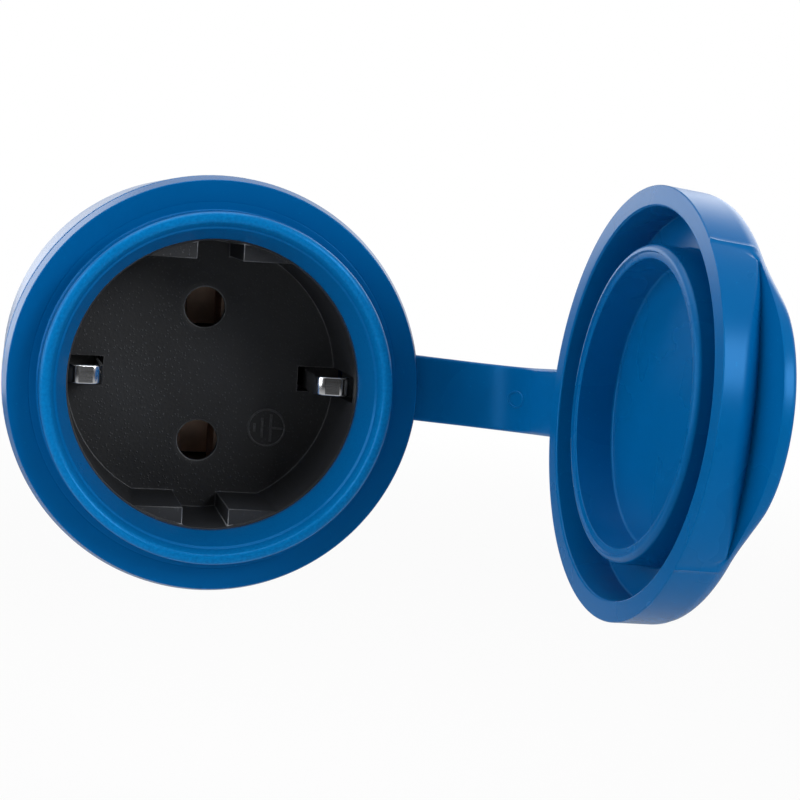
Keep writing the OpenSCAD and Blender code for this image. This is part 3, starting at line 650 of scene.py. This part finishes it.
def makeCap(cap):
    rows = capColumn(cap, math.pi)
    ring, ringInner, depth = cap["ring"], cap["ringInner"], cap["depth"]
    step, chamfer = cap["ringStep"], cap["ringChamfer"]
    slopeFrom, slopeTo = [(ringInner + ring) / 2 + aside for aside in cap["ringSlope"]]
    inside = [(0, depth), (ringInner, depth), (ringInner, step), (slopeFrom, step), (slopeTo, 0.0),
              (ring - chamfer, 0.0), (ring, chamfer), (ring, depth),
              (cap["skirtInner"], depth), (cap["skirtInner"], 0.0)]
    rounded = [(cap["skirtInner"], 0.0, 0.3), (ringInner, depth, 0.4), (ring, depth, 0.3), (ring, chamfer, 0.2),
               (ring - chamfer, 0.0, 0.2), (ringInner, step, 0.15), (cap["skirtInner"], depth, 0.3)]
    bm = lathe([(r, cap["rim"] + h) for r, h in rows + inside], cap["steps"])
    row = bm.verts.layers.int["row"]
    columns = {}
    for vert in bm.verts:
        if vert[row] >= len(rows) - 1:
            continue
        angle = math.atan2(vert.co.z, -vert.co.x)  # 0 at the free edge
        key = round(angle, 5)
        if key not in columns:
            columns[key] = capColumn(cap, angle)
        r, h = columns[key][vert[row]]
        # a fine moulding line on both sides of the tab, with a small nub at the rim
        aside = (abs(angle) - cap["tabSpan"]) * r
        if abs(aside) < cap["mouldWidth"] and h < cap["mouldEnd"]:
            line = cap["mouldNub"] if h < cap["nubEnd"] else cap["mouldLine"]
            r += line * (1 - (aside / cap["mouldWidth"]) ** 2)
        out = Vector((vert.co.x, 0, vert.co.z)).normalized()
        vert.co = out * r * mm
        vert.co.y = -(cap["rim"] + h) * mm
    roundRings(bm, [(r, cap["rim"] + h, size) for r, h, size in rounded])
    place = Vector(hinge["pos_m"])
    turn = Matrix.Rotation(cap["open"], 4, Vector(hinge["axis"]))
    swing = Matrix.Translation(place) @ turn @ Matrix.Translation(-place)
    bmesh.ops.transform(bm, matrix=swing, verts=bm.verts)
    piece = makePiece(bm, "capShell", "blueCap")
    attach(piece, "lid")
    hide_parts("lid")


makeCap(cap)
print("cap done")


# strap: one band from the loop behind the flange to the cap's skirt

strap = {
    "width": 9.0, "thick": 1.8, "edge": 0.45,
    "root": -14.6, "twistFrom": -12.9,  # start and flange edge, seen from the bending line, mm
    "rise": 3.061, "bend": 9.6, "bendStart": -7.029, "bendTurn": math.radians(84.4),
    "straightSteps": 12, "end": 9.4,  # straight run to the skirt
    "loopInner": 24.95, "loopOuter": 27.9, "loopBack": 32.8, "loopFront": 34.7, "loopEdge": 0.25, "loopSteps": 144,
    "high": 0.65, "fall": 0.0876,  # the band starts above the middle and falls towards the cap
    "markRadius": 1.05, "markThick": 0.16, "markHeight": 0.12, "markAt": math.radians(57), "markStretch": 1.3,
    "markSides": 8, "markSteps": 40,
}


def hingeFrame():
    # local Z along the bending line, X away from the socket, Y backwards
    up = Vector(hinge["axis"]).normalized()
    place = Vector(hinge["pos_m"])
    away = Vector((place.x, 0, place.z)).normalized()
    away = (away - up * away.dot(up)).normalized()
    backward = up.cross(away)
    turn = Matrix((away, backward, up)).transposed().to_4x4()
    return Matrix.Translation(place) @ turn


def addMark(bm, strap):
    # small ring left by the mould on the hollow side of the bend
    made = bmesh.ops.create_circle(bm, radius=strap["markThick"], segments=strap["markSides"])["verts"]
    bmesh.ops.rotate(bm, verts=made, cent=(0, 0, 0), matrix=Matrix.Rotation(math.pi / 2, 3, "X"))
    bmesh.ops.translate(bm, vec=(strap["markRadius"], 0, 0), verts=made)
    edges = list({e for v in made for e in v.link_edges})
    before = set(bm.verts)
    bmesh.ops.spin(bm, geom=list(made) + edges, cent=(0, 0, 0), axis=(0, 0, 1),
                   angle=2 * math.pi, steps=strap["markSteps"], use_merge=True)
    ring = list(made) + [v for v in bm.verts if v not in before]
    radius = strap["bend"] - strap["thick"] / 2
    for vert in ring:
        along, across, out = vert.co
        turn = strap["markAt"] + along * strap["markStretch"] / radius
        away = radius - (out + strap["markHeight"] - strap["markThick"])
        vert.co = (strap["bendStart"] + away * math.sin(turn),
                   strap["rise"] - strap["bend"] + away * math.cos(turn), across)


def makeStrap(strap):
    bm = bmesh.new()
    turn = strap["bendTurn"]
    straight = (strap["bendStart"] - strap["root"]) / strap["straightSteps"]
    moves = [("go", straight)] * strap["straightSteps"] + [("turn", strap["bend"], -turn), ("go", strap["end"])]
    drawStrip(bm, (strap["root"], strap["rise"]), (1, 0), strap["width"], strap["thick"], moves)
    roundStrip(bm, strap["edge"])

    # flat below the flange, then turning to the leaning bending line
    frameTurn = hingeFrame()
    upright = frameTurn.to_3x3().inverted() @ Vector((0, 0, 1))
    lean = math.atan2(upright.y, upright.z)
    for vert in bm.verts:
        if vert.co.x < strap["bendStart"]:
            t = max(0.0, (vert.co.x - strap["twistFrom"]) / (strap["bendStart"] - strap["twistFrom"]))
            left = lean * (1 - ease(t))
            y, z = vert.co.y - strap["rise"], vert.co.z
            vert.co.y = strap["rise"] + y * math.cos(left) + z * math.sin(left)
            vert.co.z = z * math.cos(left) - y * math.sin(left)
    addMark(bm, strap)
    for vert in bm.verts:
        vert.co.z += strap["high"] - strap["fall"] * (vert.co.x - strap["twistFrom"])
    bmesh.ops.scale(bm, vec=(mm, mm, mm), verts=bm.verts)
    bmesh.ops.transform(bm, matrix=frameTurn, verts=bm.verts)
    piece = makePiece(bm, "capStrap", "blueCap", smooth=50)
    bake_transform(piece)
    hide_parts("strap_ring", "strap_end")


def makeLoop(strap):
    outline = [(strap["loopInner"], strap["loopBack"]), (strap["loopOuter"], strap["loopBack"]),
               (strap["loopOuter"], strap["loopFront"]), (strap["loopInner"], strap["loopFront"])]
    bm = lathe(outline, strap["loopSteps"])
    roundRings(bm, [(r, z, strap["loopEdge"]) for r, z in outline])
    loop = makePiece(bm, "strapLoop", "blueCap")
    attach(loop, "socket")


makeStrap(strap)
makeLoop(strap)
print("strap done")


# earth clips: one plated strip below the floor, its two ends bent up and rolled over

clips = {
    "width": 2.7, "thick": 0.6, "edge": 0.27, "high": 0.2,
    "bridge": 15.65, "dull": 17.5,  # distances from the wall: the strip below the floor, and its part that is painted dark as painted shade, mm
    "half": [("go", 14.0), ("turn", 0.8, math.radians(-90)), ("go", 13.2),
             ("turn", 1.5, math.radians(80)), ("go", 1.9), ("turn", 0.9, math.radians(75)), ("go", 0.3)],
}


def makeClips(clips):
    bm = bmesh.new()
    turned = sum(move[2] for move in clips["half"] if move[0] == "turn")
    drawStrip(bm, (0, 0), (math.cos(turned), -math.sin(turned)), clips["width"], clips["thick"],
              clips["half"][::-1] + clips["half"])
    roundStrip(bm, clips["edge"])
    across = [v.co.x for v in bm.verts]
    middle = (min(across) + max(across)) / 2
    back = max(v.co.y for v in bm.verts) - clips["thick"] / 2
    bmesh.ops.translate(bm, vec=(-middle, -back - clips["bridge"], clips["high"]), verts=bm.verts)
    # painted shade: the strip below the floor takes the dull colour
    paintLightMask(bm, lambda vert: 1.0 if vert.co.y > -clips["dull"] else 0.0)
    bmesh.ops.scale(bm, vec=(mm, mm, mm), verts=bm.verts)
    piece = makePiece(bm, "earthClips", "plating", smooth=45)
    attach(piece, "socket")
    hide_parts("earth_spring")


# earth sign in low relief on the floor of the recess

sign = {
    "place": (9.8, -7.3), "floor": 18.8,  # across, up and from the wall, mm
    "ring": 2.62, "line": 0.16, "sides": 8, "steps": 56,
    # across, up, wide and high of the stem and the three bars
    "bars": [(1.5, 0.0, 1.7, 0.3), (0.6, 0.0, 0.36, 3.9), (-0.65, 0.0, 0.36, 2.8), (-1.75, 0.0, 0.36, 1.2)],
    "barEdge": 0.07, "paintedLight": 0.09,
}


def makeSign(sign):
    bm = bmesh.new()
    section = bmesh.ops.create_circle(bm, radius=sign["line"], segments=sign["sides"])["verts"]
    bmesh.ops.translate(bm, vec=(sign["ring"], 0, 0), verts=section)
    edges = list({e for v in section for e in v.link_edges})
    bmesh.ops.spin(bm, geom=list(section) + edges, cent=(0, 0, 0), axis=(0, 1, 0),
                   angle=2 * math.pi, steps=sign["steps"], use_merge=True)
    for x, z, wide, high in sign["bars"]:
        bar = bmesh.ops.create_cube(bm, size=1)["verts"]
        bmesh.ops.scale(bm, vec=(wide, 2 * sign["line"], high), verts=bar)
        bmesh.ops.translate(bm, vec=(x, 0, z), verts=bar)
        front = [e for e in {e for v in bar for e in v.link_edges} if all(v.co.y < 0 for v in e.verts)]
        roundEdges(bm, front, sign["barEdge"], segments=2, clamp=False)
    across, up = sign["place"]
    bmesh.ops.translate(bm, vec=(across, -sign["floor"], up), verts=bm.verts)
    bmesh.ops.scale(bm, vec=(mm, mm, mm), verts=bm.verts)
    # the whole sign is painted slightly lighter, a painted highlight
    paintLightMask(bm, lambda vert: sign["paintedLight"])
    piece = makePiece(bm, "earthSign", "blackInsert")
    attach(piece, "socket")


# narrow rims that bring the pin holes to the size they show

pinRims = {
    "apart": 19.0, "outer": 3.72, "inner": 2.85, "back": 18.0, "floor": 18.82, "edge": 0.2, "steps": 64,
    "paintedLight": 0.22, "lightPainted": 0.9,  # share of the rounded edge that gets a painted glint
}


def makePinRims(pinRims):
    inner, outer, back, floor = [pinRims[key] for key in ("inner", "outer", "back", "floor")]
    lightPainted = pinRims["edge"] * pinRims["lightPainted"]

    # painted glint on the rim's rounded front edge
    def rimGlint(vert):
        radius, depth = ringPlace(vert)
        return pinRims["paintedLight"] if depth > floor - lightPainted and radius < inner + lightPainted else 0.0

    bm = lathe([(inner, back), (outer, back), (outer, floor), (inner, floor)], pinRims["steps"])
    roundRings(bm, [(inner, floor, pinRims["edge"])])
    paintLightMask(bm, rimGlint)
    first = list(bm.verts)
    second = newVerts(bmesh.ops.duplicate(bm, geom=bm.verts[:] + bm.edges[:] + bm.faces[:])["geom"])
    for verts, side in ((first, 1), (second, -1)):
        bmesh.ops.translate(bm, vec=(0, 0, side * pinRims["apart"] / 2 * mm), verts=verts)
    piece = makePiece(bm, "pinRims", "blackInsert")
    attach(piece, "socket")


makeClips(clips)
makeSign(sign)
makePinRims(pinRims)
print("clips, sign and pin rims done")


# base and insert: their own forms with broken edges

base = {"edge": 0.25}

insert = {
    "edge": 0.16,
    "rim": 19.1, "front": 35.3,  # radius of the plain rim, and where the front edges start, mm
    "notch": 3.1, "near": 0.4, "nearHighlight": 0.9,  # half the notch's width, and the painted highlight close to it
    "fade": 12.0, "insideHighlight": 0.22,
}


def insertHighlight(vert):
    # painted highlights on the broken edges: the guide blocks' front edges are palest by the notch
    radius, depth = ringPlace(vert)
    beside = abs(abs(vert.co.x / mm) - insert["notch"])
    if radius > insert["rim"]:
        return insert["nearHighlight"] if beside < insert["near"] else 0.0
    if depth < insert["front"]:
        return insert["insideHighlight"]
    return max(0.0, 1 - beside / insert["fade"])


roundedCopy("baseShell", "base_box", base["edge"], "blueBody")
roundedCopy("insertShell", "insert_cup", insert["edge"], "blackInsert", howPainted=insertHighlight)
print("base and insert done")
